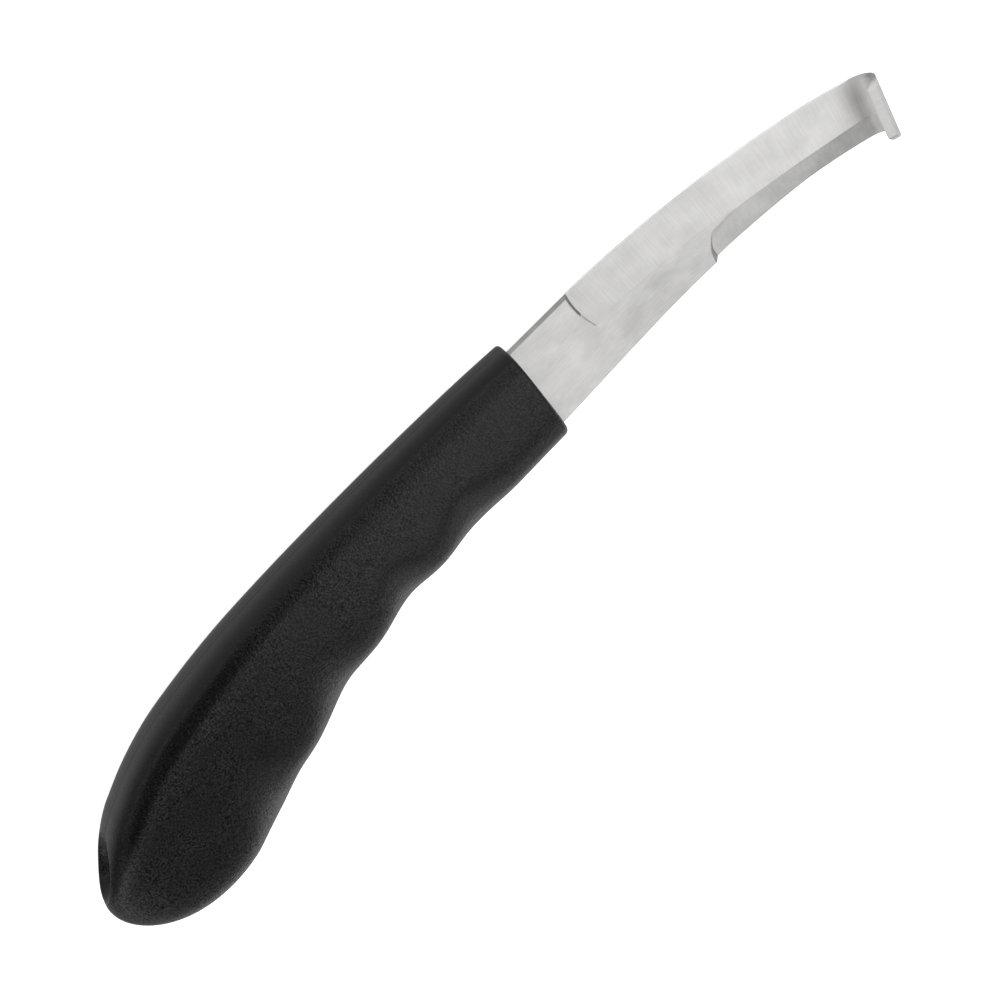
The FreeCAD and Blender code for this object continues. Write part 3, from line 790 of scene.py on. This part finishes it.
# Parts of a direction between which the room changes: towards the butt, from belly to back, down, and
# through the horizon
BUTT_WALL, BUTT_LOW = (-0.65, -0.2), (-0.6, -0.1)
SIDES, DOWN, HORIZON = (-0.4, 0.4), (-0.9, -0.4), (-0.15, 0.0)
# Dark corner of the room: direction, cosines from it where the dark starts and is full, brightness left
DARK_CORNER = ((-0.43, 0.69, 0.59), 0.866, 0.951, 0.02)
# Each softbox: name, place, size, radiance, whether it shows in reflections
SOFTBOXES = [
    ("overhead", (1.00, -0.12, 1.2), (2.1, 1.3), 0.50, True),
    ("belly_side", (0.5, -1.5, 0.60), (2.4, 0.8), 0.34, True),
    ("back_side", (0.74, 1.38, 0.91), (1.7, 1.8), 0.30, True),
    ("floor_fill", (0.0, 0.0, 1.6), (2.4, 2.4), 0.4, False),
]
OVERHEAD = 1.0                             # lamps above this face straight down, and lower ones the knife
CAMERA_TILT = math.radians(23.0)           # the camera leans this much towards the back of the knife
CAMERA_DISTANCE = 0.70
CAMERA_TARGET = (-20.29, -11.23, 0.0)      # in the drawing, millimetres
SENSOR = 36.0                              # millimetres
PICTURE_WIDTH = 0.19                       # metres that the picture spans at the target


def floor_material():
    """Pale, even studio floor that glows a little, so that it stays white under soft light."""
    material, tree, shader = material_base("studio_floor")
    shader.inputs["Roughness"].default_value = 0.9
    shader.inputs["Specular IOR Level"].default_value = 0.1
    blend = tree.nodes.new("ShaderNodeMix")
    blend.data_type = "RGBA"
    for name, tone in zip("AB", FLOOR_TONES):
        blend.inputs[name].default_value = (tone, tone, tone, 1)
    tree.links.new(surface_noise(tree, (3, 3, 3), detail=1.0, source="Object"), blend.inputs["Factor"])
    tree.links.new(blend.outputs["Result"], shader.inputs["Base Color"])
    shader.inputs["Emission Color"].default_value = (1, 1, 1, 1)
    shader.inputs["Emission Strength"].default_value = FLOOR_GLOW
    return material


def studio_floor():
    """The floor, which is kept out of the steel's reflections."""
    mesh = bpy.data.meshes.new("studio_floor")
    corners = [(-FLOOR_HALF, -FLOOR_HALF, 0), (FLOOR_HALF, -FLOOR_HALF, 0),
               (FLOOR_HALF, FLOOR_HALF, 0), (-FLOOR_HALF, FLOOR_HALF, 0)]
    mesh.from_pydata(corners, [], [(0, 1, 2, 3)])
    mesh.materials.append(floor_material())
    floor = bpy.data.objects.new("studio_floor", mesh)
    floor.visible_glossy = False
    bpy.context.scene.collection.objects.link(floor)


def softbox(name, place, size, radiance, reflected):
    """An area light with an even radiance that faces the floor, or the knife if it stands to one side."""
    light = bpy.data.lights.new(name, "AREA")
    light.shape = "RECTANGLE"
    light.size, light.size_y = size
    light.energy = radiance * 4 * size[0] * size[1]
    lamp = bpy.data.objects.new(name, light)
    lamp.location = place
    if place[2] < OVERHEAD:
        lamp.rotation_euler = Vector((0, -place[1], -place[2])).to_track_quat("-Z", "Y").to_euler()
    lamp.visible_glossy = reflected
    bpy.context.scene.collection.objects.link(lamp)


def room_light():
    """A grey room: a dark corner, and a floor that looks brighter on the belly side."""
    world = bpy.data.worlds.new("studio")
    world.use_nodes = True
    tree = world.node_tree
    background = tree.nodes["Background"]
    background.inputs["Color"].default_value = (1, 1, 1, 1)
    view = tree.nodes.new("ShaderNodeTexCoord").outputs["Generated"]
    part = parts_of(tree, view)
    direction, start, full, left = DARK_CORNER
    towards = tree.nodes.new("ShaderNodeVectorMath")
    towards.operation = "DOT_PRODUCT"
    towards.inputs[1].default_value = direction
    tree.links.new(view, towards.inputs[0])

    above = remapped(tree, part["X"], *BUTT_WALL, ROOM_BEHIND_GRIP, ROOM_ABOVE, smooth=True)
    corner = remapped(tree, towards.outputs["Value"], start, full, 1, left, smooth=True)
    above = combined(tree, "MULTIPLY", above, corner)
    low = remapped(tree, part["Y"], *SIDES, ROOM_LOW_BELLY, ROOM_LOW_BACK, smooth=True)
    low = combined(tree, "MULTIPLY", low, remapped(tree, part["X"], *BUTT_LOW, LOW_BEHIND_GRIP, 1.0))
    below = remapped(tree, part["Z"], *DOWN, ROOM_DOWN, low, smooth=True)
    brightness = remapped(tree, part["Z"], *HORIZON, below, above, smooth=True)
    tree.links.new(brightness, background.inputs["Strength"])
    bpy.context.scene.world = world


def camera():
    """A long lens from above, turned so that the knife lies from the lower left to the upper right."""
    data = bpy.data.cameras.new("camera")
    data.sensor_width = SENSOR
    data.lens = SENSOR * CAMERA_DISTANCE / PICTURE_WIDTH
    towards = Vector((0, math.sin(CAMERA_TILT), math.cos(CAMERA_TILT)))
    along = Vector((1, 0, 0))
    down = Vector((0, -math.cos(CAMERA_TILT), math.sin(CAMERA_TILT)))
    right, up = (along + down).normalized(), (along - down).normalized()
    eye = bpy.data.objects.new("camera", data)
    target = (Vector(CAMERA_TARGET) + Vector(DRAWING_ORIGIN)) * MM
    eye.matrix_world = Matrix.Translation(target + towards * CAMERA_DISTANCE) @ Matrix(
        (right, up, towards)).transposed().to_4x4()
    bpy.context.scene.collection.objects.link(eye)
    bpy.context.scene.camera = eye


def blade_steels():
    """The steel of each of the blade's slots."""
    return [steel("steel_flat", brush=(0.35, 5.0), depth=0.30, tone=0.83, spread=0.10, roughness=0.34,
                  fade=(6.0, 24.0, 0.15)),
            steel("steel_ground", brush=(2.2, 0.16), depth=0.12, tone=0.73, spread=0.09, roughness=0.30,
                  dulled=0.22),
            steel("steel_lip", brush=(1.5, 1.5), depth=0.15, tone=0.72, spread=0.06, roughness=0.33),
            # The two wall steels are dark as painted shade.
            steel("steel_back_wall_shade", brush=(1.0, 3.0), depth=0.2, tone=0.22, spread=0.10, roughness=0.40),
            steel("steel_belly_wall_shade", brush=(1.0, 2.0), depth=0.2, tone=0.40, spread=0.08, roughness=0.40),
            # Painted highlight: a brighter steel along the back bevel's edge.
            steel("steel_edge_highlight", brush=(2.5, 0.3), depth=0.2, tone=0.82, spread=0.20, roughness=0.25),
            # Painted shade: the belly bevel's steel gets darker towards the hook.
            steel("steel_belly_ground", brush=(1.2, 0.5), depth=0.12, tone=0.74, spread=0.09,
                  roughness=0.32, fade=(46.0, 78.0, 0.20), dulled=0.18)]


def build():
    """Makes both pieces, hangs them under the root body and hides the CAD parts they stand in for, then the
    studio round them.
    """
    for piece, node, slot in ((blade(blade_steels()), "blade", "steel"),
                              (grip(grip_polymer()), "handle", "grip_polymer")):
        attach(piece, "root")
        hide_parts(node)
    studio_floor()
    for box in SOFTBOXES:
        softbox(*box)
    room_light()
    camera()
    bpy.context.scene.view_settings.view_transform = "Standard"


build()
